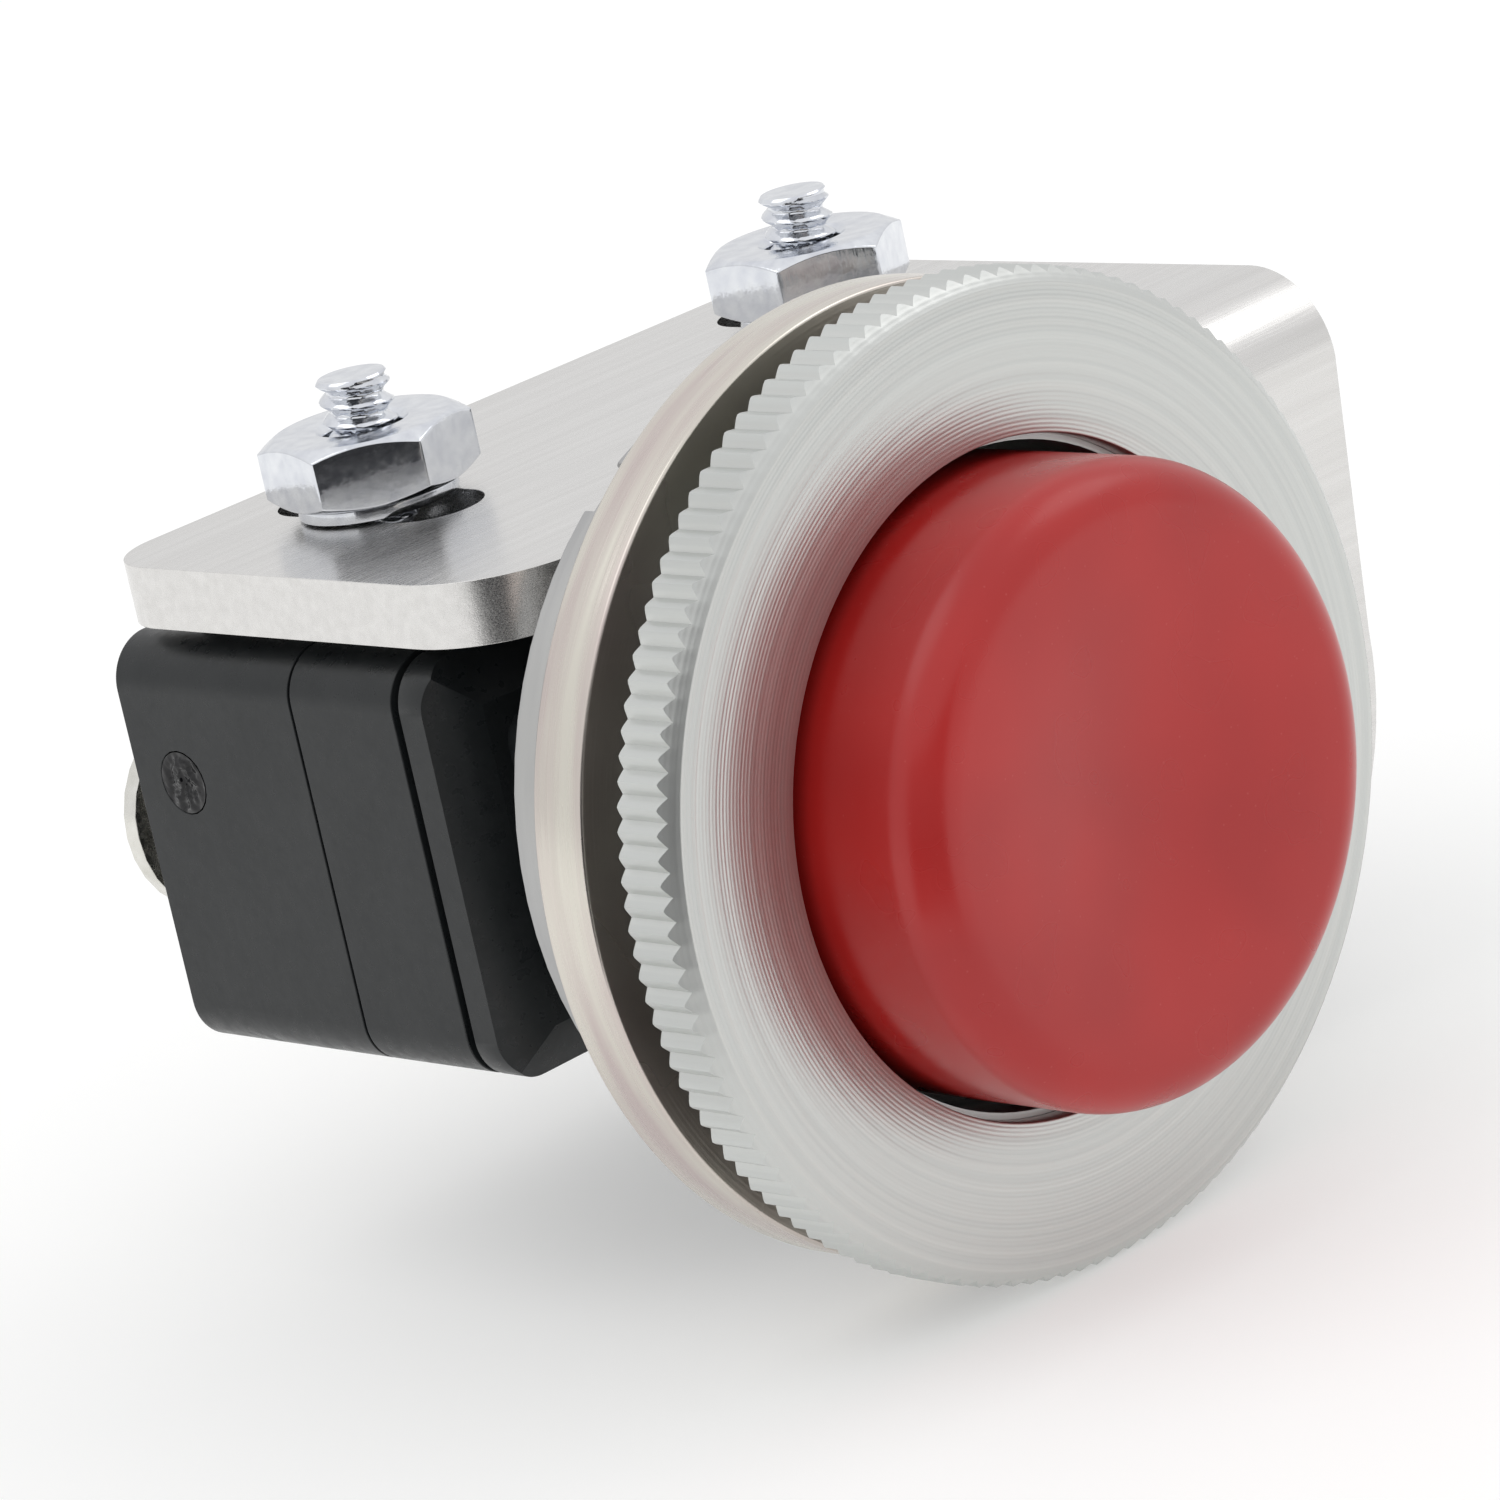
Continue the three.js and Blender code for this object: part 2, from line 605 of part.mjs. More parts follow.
function switchFrontCover() {
  const inset = COVER_TAPER_INSET;
  const rim = slabY(caseOutline(0, CASE_CORNER_R), coverRimFront, coverRear, CASE_CORNER_STEPS);
  const taper = frustum(coverRimFront, coverTaperFront, 0, inset).intersect(
    slabY(caseOutline(0, CASE_CORNER_R), coverTaperFront - EPS, coverRear, CASE_CORNER_STEPS),
  );
  const nose = slabY(caseOutline(inset + COVER_STEP, NOSE_CORNER_R), switchFront,
    coverTaperFront + EPS, CASE_CORNER_STEPS);
  const hollow = block(cavityLeft, cavityRight, coverTaperFront + CASE_WALL, coverRear + EPS,
    cavityBottom, cavityTop);
  const well = inset + COVER_STEP + CASE_WALL;
  const noseHollow = block(SWITCH_LEFT + well, switchRight - well, switchFront + CASE_WALL,
    coverRear + EPS, switchBottom + well, switchTop - well);
  const hole = disc(PLUNGER_R + FIT, switchFront - EPS, coverRear, 20);
  const body = cut(join(rim, taper, nose), hollow, noseHollow, hole);
  return piece('switch_front_cover', body, looks.blackPlastic);
}

// The case's outline at yWide, drawn in by inset at yNarrow.
function frustum(yWide, yNarrow, insetWide, insetNarrow) {
  const corners = [];
  for (const [y, inset] of [[yWide, insetWide], [yNarrow, insetNarrow]]) {
    const [z0, z1] = [switchBottom + inset, switchTop - inset];
    const [x0, x1] = [SWITCH_LEFT + inset, switchRight - inset];
    corners.push([x0, y, z0], [x1, y, z0], [x1, y, z1], [x0, y, z1]);
  }
  const faces = [[0, 1, 2], [0, 2, 3], [4, 6, 5], [4, 7, 6]];
  for (let i = 0; i < 4; i += 1) {
    const j = (i + 1) % 4;
    faces.push([i, i + 4, j], [j, i + 4, j + 4]);
  }
  const geometry = new THREE.BufferGeometry();
  const points = Float32Array.from(corners.flat());
  geometry.setAttribute('position', new THREE.BufferAttribute(points, 3));
  geometry.setIndex(faces.flat());
  return solid(geometry);
}

function switchMiddleCase() {
  const shell = slabY(caseOutline(0, CASE_CORNER_R), middleCaseFront, middleCaseRear,
    CASE_CORNER_STEPS);
  const hollow = block(cavityLeft, cavityRight, middleCaseFront - EPS, middleCaseRear + EPS,
    cavityBottom, cavityTop);
  return piece('switch_middle_case', cut(shell, hollow), looks.blackPlastic);
}

function switchRearCase() {
  const shell = slabY(caseOutline(0, CASE_CORNER_R), rearCaseFront, switchRear,
    CASE_CORNER_STEPS);
  const wall = HOLE_R + HOLE_WALL;
  const hollow = block(holeXs.left + wall, holeXs.right - wall, rearCaseFront - EPS,
    switchRear - CASE_WALL - TERMINAL_SCREW_DEPTH, cavityBottom, cavityTop);
  const holes = Object.values(holeXs).map((x) =>
    post(HOLE_R, switchBottom - EPS, switchTop + EPS, 24, x, holeY));
  const halfStrip = STRIP_WIDTH / 2 + SEAT;
  const passages = Object.values(terminalXs).map((x) =>
    block(x - halfStrip, x + halfStrip, rearCaseFront - EPS, switchRear + EPS,
      -STRIP_DROP - STRIP / 2 - SEAT, -STRIP_DROP + STRIP / 2 + SEAT));
  const screwHoles = Object.values(terminalXs).map((x) =>
    disc(TERMINAL_SCREW_R + SEAT, switchRear - TERMINAL_SCREW_DEPTH - FIT, switchRear + EPS,
      16, x, -TERMINAL_DROP));
  const plugHole = plugTool(PLUG_R + SEAT, SWITCH_LEFT - EPS, SWITCH_LEFT + PLUG_DEPTH + SEAT);
  const body = cut(shell, hollow, ...holes, ...passages, ...screwHoles, plugHole);
  return piece('switch_rear_case', body, looks.blackPlastic);
}

// A cylinder along X where the end plug sits.
function plugTool(r, x0, x1) {
  const geometry = new THREE.CylinderGeometry(r, r, x1 - x0, 20).rotateZ(Math.PI / 2);
  return solid(geometry.translate((x0 + x1) / 2, switchRear - PLUG_FROM_REAR, PLUG_UP));
}

function endPlug() {
  const plug = plugTool(PLUG_R, SWITCH_LEFT - PLUG_PROUD, SWITCH_LEFT + PLUG_DEPTH);
  return piece('end_plug', plug, looks.blackPlastic);
}

// Between the case and the bracket's plate, with the mounting screws through it.
function insulatingSheet() {
  const radii = [CASE_CORNER_R, CASE_CORNER_R, CASE_CORNER_R, CASE_CORNER_R];
  const outline = roundedRectangle(SWITCH_LEFT + SHEET_INSET, switchRight - SHEET_INSET,
    coverRear, switchRear - SHEET_INSET, radii);
  const sheet = slabZ(outline, switchTop + SEAT, plateBottom - SEAT);
  const holes = Object.values(holeXs).map((x) =>
    post(HOLE_R, switchTop, plateBottom, 24, x, holeY));
  return piece('insulating_sheet', cut(sheet, ...holes), looks.blackPlastic);
}

// ---------- switch works ----------

const collarFront = switchFront + CASE_WALL + FIT;
const collarRear = collarFront + PLUNGER_COLLAR;
const plungerRear = bladeFront - BUTTON_TRAVEL - PLUNGER_BLADE_GAP;

function switchPlunger() {
  const pin = turned([
    [0, plungerTip],
    [PLUNGER_R - PLUNGER_TIP_CHAMFER, plungerTip],
    [PLUNGER_R, plungerTip + PLUNGER_TIP_CHAMFER],
    [PLUNGER_R, collarFront],
    [PLUNGER_COLLAR_R, collarFront],
    [PLUNGER_COLLAR_R, collarRear],
    [PLUNGER_REAR_R, collarRear],
    [PLUNGER_REAR_R, plungerRear],
    [0, plungerRear],
  ], 20);
  return piece('switch_plunger', pin, looks.whitePlastic);
}

function overtravelSpring() {
  const coil = spring(OVERTRAVEL_R, OVERTRAVEL_WIRE_R, collarRear + FIT, bladeFront - FIT,
    OVERTRAVEL_TURNS, 5, 10);
  return piece('overtravel_spring', coil, looks.springSteel);
}

function snapBlade() {
  const half = BLADE_WIDTH / 2;
  const blade = block(terminalXs.common - BLADE_TAIL, contactX + half, bladeFront, bladeRear,
    -half, half);
  const contactHole = disc(CONTACT_NECK_R, bladeFront - EPS, bladeRear + EPS, 16, contactX);
  return piece('snap_blade', cut(blade, contactHole), looks.brass);
}

function movingContact() {
  const rivet = turned([
    [0, contactFront],
    [CONTACT_R, contactFront],
    [CONTACT_R, bladeFront - SEAT],
    [CONTACT_NECK_R - SEAT, bladeFront - SEAT],
    [CONTACT_NECK_R - SEAT, bladeRear + SEAT],
    [CONTACT_R, bladeRear + SEAT],
    [CONTACT_R, contactRear],
    [0, contactRear],
  ], 16, contactX);
  return piece('moving_contact', rivet, looks.silver);
}

// A terminal: a screw tab on the rear face, a strip through the case, and an arm
// inside it at yArm, from xArm0 to xArm1.
function terminal(name, x, yArm, xArm0, xArm1) {
  const halfTab = TAB_WIDTH / 2;
  const halfStrip = STRIP_WIDTH / 2;
  const stripLow = -STRIP_DROP - STRIP / 2;
  const tab = block(x - halfTab, x + halfTab, switchRear + SEAT, tabRear, stripLow, TAB_ABOVE);
  const strip = block(x - halfStrip, x + halfStrip, yArm, tabRear, stripLow, stripLow + STRIP);
  const arm = block(xArm0, xArm1, yArm, yArm + STRIP, stripLow, BLADE_WIDTH / 2);
  const hole = disc(TERMINAL_SCREW_R + FIT, switchRear, tabRear + EPS, 20, x, -TERMINAL_DROP);
  return piece(name, cut(join(tab, strip, arm), hole), looks.silver);
}

function terminals() {
  const half = STRIP_WIDTH / 2;
  const { common, open, closed } = terminalXs;
  return [
    terminal('terminal_common', common, bladeRear + FIT, common - half, common + half),
    terminal('terminal_open', open, openArm, open - half, contactX + contactHalf),
    terminal('terminal_closed', closed, closedArm, contactX - contactHalf, closed + half),
  ];
}

function fixedContact(name, y) {
  return piece(name, disc(CONTACT_R, y, y + CONTACT_HEIGHT, 16, contactX), looks.silver);
}

// ---------- fasteners ----------

function hexPrism(flats, z0, z1, turn, x, y) {
  const shape = new THREE.Shape();
  const cornerR = flats / Math.sqrt(3);
  for (let i = 0; i < 6; i += 1) {
    const angle = THREE.MathUtils.degToRad(turn + i * 60);
    const [px, py] = [x + cornerR * Math.cos(angle), y + cornerR * Math.sin(angle)];
    if (i === 0) shape.moveTo(px, py);
    else shape.lineTo(px, py);
  }
  shape.closePath();
  return slabZ(shape, z0, z1);
}

function hexNut(name, x, turn) {
  const cornerR = NUT_FLATS / Math.sqrt(3);
  const blank = hexPrism(NUT_FLATS, nutBottom, nutTop, turn, x, holeY);
  const round = upright([
    [0, nutBottom],
    [NUT_FACE_R, nutBottom],
    [cornerR, nutBottom + NUT_CHAMFER],
    [cornerR, nutTop - NUT_CHAMFER],
    [NUT_FACE_R, nutTop],
    [0, nutTop],
  ], 72, x, holeY);
  const bore = post(SCREW_R + NUT_BORE_GAP, nutBottom - EPS, nutTop + EPS, 24, x, holeY);
  return piece(name, cut(blank.intersect(round), bore), looks.chrome);
}

function lockWasher(name, x) {
  const top = lockWasherBottom + LOCK_WASHER_THICKNESS;
  const ring = cut(
    post(LOCK_WASHER_R, lockWasherBottom, top, 32, x, holeY),
    post(SCREW_R + NUT_BORE_GAP, lockWasherBottom - EPS, top + EPS, 24, x, holeY),
  );
  const half = LOCK_WASHER_SPLIT / 2;
  const split = block(x, x + LOCK_WASHER_R + EPS, holeY - half, holeY + half,
    lockWasherBottom - EPS, top + EPS);
  return piece(name, cut(ring, split), looks.chrome);
}

function mountingScrew(name, x) {
  const under = switchBottom - SEAT;
  const tip = nutTop + SCREW_PROUD;
  const screw = upright([
    [0, under - SCREW_HEAD],
    [SCREW_HEAD_TOP_R, under - SCREW_HEAD],
    [SCREW_HEAD_R, under - SCREW_HEAD_RIM],
    [SCREW_HEAD_R, under],
    [SCREW_R, under],
    [SCREW_R, tip - SCREW_TIP_CHAMFER],
    [SCREW_R - SCREW_TIP_CHAMFER, tip],
    [0, tip],
  ], 24, x, holeY);
  const half = SCREW_DRIVE / 2;
  const drive = block(x - half, x + half, holeY - SCREW_HEAD_R - EPS, holeY + SCREW_HEAD_R + EPS,
    under - SCREW_HEAD - EPS, under - SCREW_HEAD + SCREW_DRIVE_DEPTH);
  return piece(name, cut(screw, drive), looks.chrome);
}

function terminalScrew(name, x) {
  const under = tabRear + 2 * SEAT + CUP_WASHER_THICKNESS;
  const top = under + TERMINAL_HEAD;
  const screw = turned([
    [0, switchRear - TERMINAL_SCREW_DEPTH],
    [TERMINAL_SCREW_R, switchRear - TERMINAL_SCREW_DEPTH],
    [TERMINAL_SCREW_R, under],
    [TERMINAL_HEAD_R, under],
    [TERMINAL_HEAD_R, top - TERMINAL_HEAD_CHAMFER],
    [TERMINAL_HEAD_R - TERMINAL_HEAD_CHAMFER, top],
    [0, top],
  ], 24, x, -TERMINAL_DROP);
  const half = SCREW_DRIVE / 2;
  const drive = block(x - TERMINAL_HEAD_R - EPS, x + TERMINAL_HEAD_R + EPS,
    top - TERMINAL_DRIVE_DEPTH, top + EPS, -TERMINAL_DROP - half, -TERMINAL_DROP + half);
  return piece(name, cut(screw, drive), looks.silver);
}

function cupWasher(name, x) {
  const front = tabRear + SEAT;
  const ring = tube(TERMINAL_SCREW_R + FIT, CUP_WASHER_R, front, front + CUP_WASHER_THICKNESS,
    28, x, -TERMINAL_DROP);
  return piece(name, ring, looks.silver);
}

// ---------- assembly ----------

const buzzer = new THREE.Group();

const buttonGroup = new THREE.Group();
buttonGroup.add(buttonCap(), plungerStem(), retainingClip());

const headGroup = new THREE.Group();
headGroup.add(bezelRing(), threadedBushing(), returnSpring(), panelWasher(), jamNut());

const switchGroup = new THREE.Group();
switchGroup.add(
  switchFrontCover(),
  switchMiddleCase(),
  switchRearCase(),
  endPlug(),
  insulatingSheet(),
  switchPlunger(),
  overtravelSpring(),
  snapBlade(),
  movingContact(),
  fixedContact('fixed_contact_open', openFace),
  fixedContact('fixed_contact_closed', closedFace - CONTACT_HEIGHT),
  ...terminals(),
);
for (const [label, x] of Object.entries(terminalXs)) {
  switchGroup.add(cupWasher(`terminal_washer_${label}`, x));
  switchGroup.add(terminalScrew(`terminal_screw_${label}`, x));
}

const mountingGroup = new THREE.Group();
mountingGroup.add(mountingBracket());
const nutTurns = { left: NUT_TURN_LEFT, right: NUT_TURN_RIGHT };
for (const [side, x] of Object.entries(holeXs)) {
  mountingGroup.add(mountingScrew(`mounting_screw_${side}`, x));
  mountingGroup.add(lockWasher(`lock_washer_${side}`, x));
  mountingGroup.add(hexNut(`hex_nut_${side}`, x, nutTurns[side]));
}

buzzer.add(headGroup, buttonGroup, mountingGroup, switchGroup);

export default buzzer;
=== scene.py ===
"""Looks for a panel-mounted push button: a red button in a knurled bezel, with a
snap-action switch on a bracket behind it.

Metres, in the CAD's frame: the button's axis is Y and the button faces -Y, X runs
along the switch, Z is up. Sizes that the frame doesn't give are named below.
"""

import json
import math

import bmesh
import bpy
from mathutils import Matrix, Vector, noise


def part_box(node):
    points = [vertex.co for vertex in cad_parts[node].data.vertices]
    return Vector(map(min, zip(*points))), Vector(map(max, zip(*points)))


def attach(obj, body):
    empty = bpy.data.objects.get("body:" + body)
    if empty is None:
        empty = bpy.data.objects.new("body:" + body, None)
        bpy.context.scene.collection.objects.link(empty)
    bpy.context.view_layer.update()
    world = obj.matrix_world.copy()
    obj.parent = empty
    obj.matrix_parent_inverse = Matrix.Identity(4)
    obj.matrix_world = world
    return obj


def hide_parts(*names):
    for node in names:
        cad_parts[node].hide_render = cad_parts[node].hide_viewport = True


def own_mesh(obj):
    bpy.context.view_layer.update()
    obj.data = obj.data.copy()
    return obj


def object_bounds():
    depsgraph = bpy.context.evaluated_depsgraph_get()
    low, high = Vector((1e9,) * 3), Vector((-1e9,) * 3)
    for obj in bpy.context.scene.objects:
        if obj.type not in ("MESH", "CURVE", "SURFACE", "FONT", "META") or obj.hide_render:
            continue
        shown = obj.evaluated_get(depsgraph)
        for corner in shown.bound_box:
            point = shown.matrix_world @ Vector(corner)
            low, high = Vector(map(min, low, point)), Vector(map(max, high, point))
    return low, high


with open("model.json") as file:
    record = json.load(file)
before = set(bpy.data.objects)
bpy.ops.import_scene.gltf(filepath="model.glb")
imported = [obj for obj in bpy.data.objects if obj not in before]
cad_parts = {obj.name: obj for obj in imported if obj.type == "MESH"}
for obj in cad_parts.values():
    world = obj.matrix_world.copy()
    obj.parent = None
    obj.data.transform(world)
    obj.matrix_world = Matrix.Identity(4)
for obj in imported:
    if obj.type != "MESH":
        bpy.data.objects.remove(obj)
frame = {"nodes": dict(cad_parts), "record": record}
cad_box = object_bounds()
nodes = frame["nodes"]

MM = 0.001
TURN = 2 * math.pi

# ---------- camera: where it stands and how far the axis's end is off its centre ----------
AZIMUTH = -41.36
ELEVATION = 16.04
ROLL = -12.27
DISTANCE = 265.4 * MM
AXIS_RIGHT = 9.15 * MM
AXIS_DOWN = 0.9 * MM
LENS = 167.2

# ---------- sizes that the CAD boxes don't show ----------
BEZEL_GAP = 0.72 * MM
BEZEL_LIP = 1.0 * MM
KNURL_TEETH = 132
KNURL_DEPTH = 0.34 * MM
KNURL_CHAMFER = 0.25 * MM
KNURL_STEPS = 8
KNURL_CREST = 0.03
BEZEL_EDGE = 0.12 * MM
THREAD_CLEARANCE = 0.05 * MM
BUTTON_RIM = 2.0 * MM
BUTTON_DISH = 1.05 * MM
BUTTON_WALL = 1.5 * MM
BUTTON_BOSS_R = 3.6 * MM
BUTTON_BOSS_LENGTH = 4.6 * MM
STEM_HOLE_R = 2.25 * MM
STEM_SEAT = 4.05 * MM
BUSHING_WALL = 1.4 * MM
REAR_WALL_FRONT = 4.6 * MM
REAR_WALL = 1.6 * MM
REAR_HOLE_R = 2.5 * MM
BUSHING_PITCH = 1.0 * MM
BUSHING_THREAD = 0.5 * MM
BUSHING_SIDES = 120
THREAD_CREST = 0.1
THREAD_FLANK = 0.72
WASHER_BORE_R = 14.5 * MM
WASHER_EDGE = 0.16 * MM
NUT_FLATS = 7.6 * MM
NUT_FACE_R = 3.65 * MM
NUT_SLOPE = 0.54
NUT_BORE_R = 1.65 * MM
NUT_LEAD = 0.28 * MM
NUT_SIDES = 144
NUT_TURNS = {"left": 19.5, "right": 30}
SCREW_R = 1.5 * MM
SCREW_PITCH = 0.79 * MM
SCREW_THREAD = 0.36 * MM
SCREW_HEAD_R = 3.3 * MM
SCREW_HEAD = 1.8 * MM
SCREW_SLOT = 0.5 * MM
SCREW_SIDES = 48
SCREW_TIP_CHAMFER = 0.14 * MM
SCREW_RUN_OUT = 0.35 * MM
LOCK_WASHER_SPLIT = 14
LOCK_WASHER_SHARE = 0.85
LOCK_WASHER_STEPS = 96
PLUG_PROUD = 0.12 * MM
CARD_HALF_WIDTH = math.radians(37)
CARD_PROFILE = [(0.06, 0.0), (0.45, 0.0), (0.47, 0.05), (0.44, 0.2)]
SPRINGS = {
    "return_spring": {"wire": 0.45 * MM, "turns": 5, "joint": "button_press"},
    "overtravel_spring": {"wire": 0.25 * MM, "turns": 6, "joint": "switch_plunge"},
}


# ---------- materials ----------


def put_inputs(tree, node, inputs):
    """Set a node's inputs, each to a value or to another node's output."""
    for key, value in inputs.items():
        if isinstance(value, bpy.types.NodeSocket):
            tree.links.new(value, node.inputs[key])
        else:
            node.inputs[key].default_value = value


def add_node(tree, kind, inputs, settings):
    node = tree.nodes.new("ShaderNode" + kind)
    for key, value in settings.items():
        setattr(node, key, value)
    put_inputs(tree, node, inputs or {})
    return node


class Look:
    """A material whose Principled shader is fed by procedural nodes."""

    def __init__(self, name, colour, metallic, roughness, **sockets):
        self.material = bpy.data.materials.new(name)
        self.material.use_nodes = True
        self.tree = self.material.node_tree
        self.shader = self.tree.nodes["Principled BSDF"]
        self.put(**{"Base Color": (*colour, 1)}, Metallic=metallic, Roughness=roughness, **sockets)
        self.place = self.add("TexCoord", output="Object")

    def put(self, **inputs):
        put_inputs(self.tree, self.shader, inputs)

    def add(self, kind, inputs=None, output=0, **settings):
        return add_node(self.tree, kind, inputs, settings).outputs[output]

    def mix(self, factor, first, second):
        """A colour between two, by factor. Each is three numbers or a node's colour."""
        ends = {0: factor}
        for key, end in ((6, first), (7, second)):
            ends[key] = end if isinstance(end, bpy.types.NodeSocket) else (*end, 1)
        return self.add("Mix", ends, output=2, data_type="RGBA")

    def between(self, value, low, high, start=0.3, end=0.7):
        """value, from start to end, turned into low to high."""
        ends = {"Value": value, "From Min": start, "From Max": end, "To Min": low, "To Max": high}
        return self.add("MapRange", ends)

    def streaks(self, x, y, z, detail=3.0):
        """Noise with that many features per metre along each axis."""
        spread = self.add("VectorMath", {0: self.place, 1: (x, y, z)}, operation="MULTIPLY")
        return self.add("TexNoise", {"Vector": spread, "Scale": 1.0, "Detail": detail})

    def grain(self, size, detail=3.0):
        return self.streaks(1 / size, 1 / size, 1 / size, detail)

    def from_axis(self):
        """The distance from the button's axis."""
        flat = self.add("VectorMath", {0: self.place, 1: (1, 0, 1)}, operation="MULTIPLY")
        return self.add("VectorMath", {0: flat}, output="Value", operation="LENGTH")

    def rings(self, size):
        """Noise that changes only with the distance from the button's axis."""
        noise_inputs = {"W": self.from_axis(), "Scale": 1 / size, "Detail": 4.0}
        return self.add("TexNoise", noise_inputs, noise_dimensions="1D")

    def ridges(self, pitch):
        """Even turning marks: a wave along the distance from the button's axis."""
        phase = self.add("Math", {0: self.from_axis(), 1: TURN / pitch}, operation="MULTIPLY")
        return self.add("Math", {0: phase}, operation="SINE")

    def colour(self, factor, first, second):
        self.put(**{"Base Color": self.mix(factor, first, second)})

    def rough(self, value, low, high):
        self.put(Roughness=self.between(value, low, high))

    def bump(self, *heights):
        """Relief from (height, depth) pairs, laid one on another."""
        normal = None
        for height, depth in heights:
            inputs = {"Height": height, "Distance": depth, "Strength": 1.0}
            if normal:
                inputs["Normal"] = normal
            normal = self.add("Bump", inputs)
        self.put(Normal=normal)


def red_plastic():
    look = Look("red_plastic", (0.4, 0.016, 0.014), 0.0, 0.3)
    cloud = look.between(look.grain(6 * MM, 1.0), 0.0, 1.0)
    body = look.mix(cloud, (0.36, 0.012, 0.011), (0.42, 0.016, 0.014))
    speck = look.add("TexVoronoi", {"Vector": look.place, "Scale": 1 / (0.55 * MM)})
    dust = look.between(speck, 1.0, 0.0, 0.03, 0.1)
    faint = look.add("Math", {0: dust, 1: 0.16}, operation="MULTIPLY")
    look.colour(faint, body, (0.62, 0.2, 0.18))
    look.rough(look.grain(2.5 * MM, 1.0), 0.26, 0.33)
    look.bump((look.grain(3.0 * MM, 1.0), 0.008 * MM))
    return look.material


def satin_aluminium():
    look = Look("satin_aluminium", (0.6, 0.61, 0.595), 0.86, 0.36, Anisotropic=0.3)
    look.put(Tangent=look.add("Tangent", direction_type="RADIAL", axis="Y"))
    look.colour(look.between(look.rings(0.35 * MM), 0, 1), (0.58, 0.595, 0.58), (0.64, 0.65, 0.63))
    look.rough(look.rings(0.5 * MM), 0.3, 0.4)
    look.bump((look.rings(0.5 * MM), 0.012 * MM), (look.ridges(0.17 * MM), 0.0022 * MM),
              (look.grain(0.2 * MM), 0.003 * MM))
    return look.material


def turned_zinc(name, first, second, roughness):
    """Plate turned about the button's axis, with streaks round it."""
    look = Look(name, first, 1.0, roughness)
    round_it = look.streaks(60, 5200, 60)
    face = look.rings(0.11 * MM)
    look.colour(look.between(look.streaks(70, 800, 70), 0, 1, 0.35, 0.65), first, second)
    look.rough(look.streaks(90, 2500, 90), roughness - 0.07, roughness + 0.09)
    look.bump((round_it, 0.014 * MM), (face, 0.006 * MM))
    return look.material


def brushed_nickel():
    look = Look("nickel", (0.72, 0.71, 0.69), 1.0, 0.24)
    fine = look.streaks(350, 16000, 16000, 4.0)
    broad = look.streaks(60, 2200, 2200, 2.0)
    look.colour(look.between(broad, 0, 1), (0.68, 0.67, 0.655), (0.74, 0.73, 0.715))
    look.rough(fine, 0.2, 0.32)
    look.bump((fine, 0.0035 * MM), (broad, 0.003 * MM), (look.grain(1.2 * MM), 0.006 * MM))
    return look.material


def bright_zinc():
    look = Look("bright_zinc", (0.74, 0.76, 0.8), 1.0, 0.16)
    look.colour(look.between(look.grain(0.7 * MM), 0, 1), (0.66, 0.68, 0.73), (0.8, 0.82, 0.85))
    look.rough(look.grain(0.35 * MM), 0.08, 0.2)
    look.bump((look.streaks(5200, 5200, 900), 0.008 * MM), (look.grain(0.5 * MM), 0.01 * MM))
    return look.material


def black_plastic():
    look = Look("black_plastic", (0.014, 0.016, 0.017), 0.0, 0.33, **{"Specular IOR Level": 0.36})
    look.colour(look.between(look.grain(3 * MM), 0, 1), (0.010, 0.012, 0.013), (0.017, 0.019, 0.020))
    look.rough(look.grain(0.5 * MM), 0.24, 0.4)
    look.bump((look.grain(0.14 * MM), 0.003 * MM), (look.grain(1.5 * MM), 0.012 * MM))
    return look.material


def black_resin():
    look = Look("black_resin", (0.004, 0.004, 0.005), 0.0, 0.1, **{"Specular IOR Level": 0.4})
    look.rough(look.grain(0.3 * MM), 0.05, 0.22)
    look.bump((look.grain(0.7 * MM), 0.05 * MM))
    return look.material


def white_plastic():
    look = Look("white_plastic", (0.68, 0.66, 0.58), 0.0, 0.42)
    look.colour(look.between(look.grain(2 * MM), 0, 1), (0.64, 0.62, 0.54), (0.72, 0.7, 0.62))
    look.rough(look.grain(0.4 * MM), 0.36, 0.5)
    look.bump((look.grain(0.2 * MM), 0.003 * MM))
    return look.material


def drawn_metal(name, first, second, roughness):
    look = Look(name, first, 1.0, roughness)
    look.colour(look.between(look.grain(0.9 * MM), 0, 1), first, second)
    look.rough(look.grain(0.3 * MM), roughness - 0.06, roughness + 0.1)
    look.bump((look.grain(0.16 * MM), 0.004 * MM))
    return look.material


looks = {
    "red_plastic": red_plastic(),
    "satin_aluminium": satin_aluminium(),
    "pale_zinc": turned_zinc("pale_zinc", (0.58, 0.5, 0.48), (0.7, 0.67, 0.6), 0.26),
    "grey_zinc": turned_zinc("grey_zinc", (0.42, 0.42, 0.42), (0.5, 0.5, 0.49), 0.36),
    "nickel": brushed_nickel(),
    "bright_zinc": bright_zinc(),
    "black_plastic": black_plastic(),
    "black_resin": black_resin(),
    "white_plastic": white_plastic(),
    "spring_steel": drawn_metal("spring_steel", (0.34, 0.35, 0.36), (0.48, 0.49, 0.5), 0.28),
    "brass": drawn_metal("brass", (0.56, 0.39, 0.15), (0.66, 0.48, 0.2), 0.3),
    "silver": drawn_metal("silver", (0.66, 0.65, 0.6), (0.78, 0.77, 0.73), 0.22),
}


# ---------- mesh helpers ----------


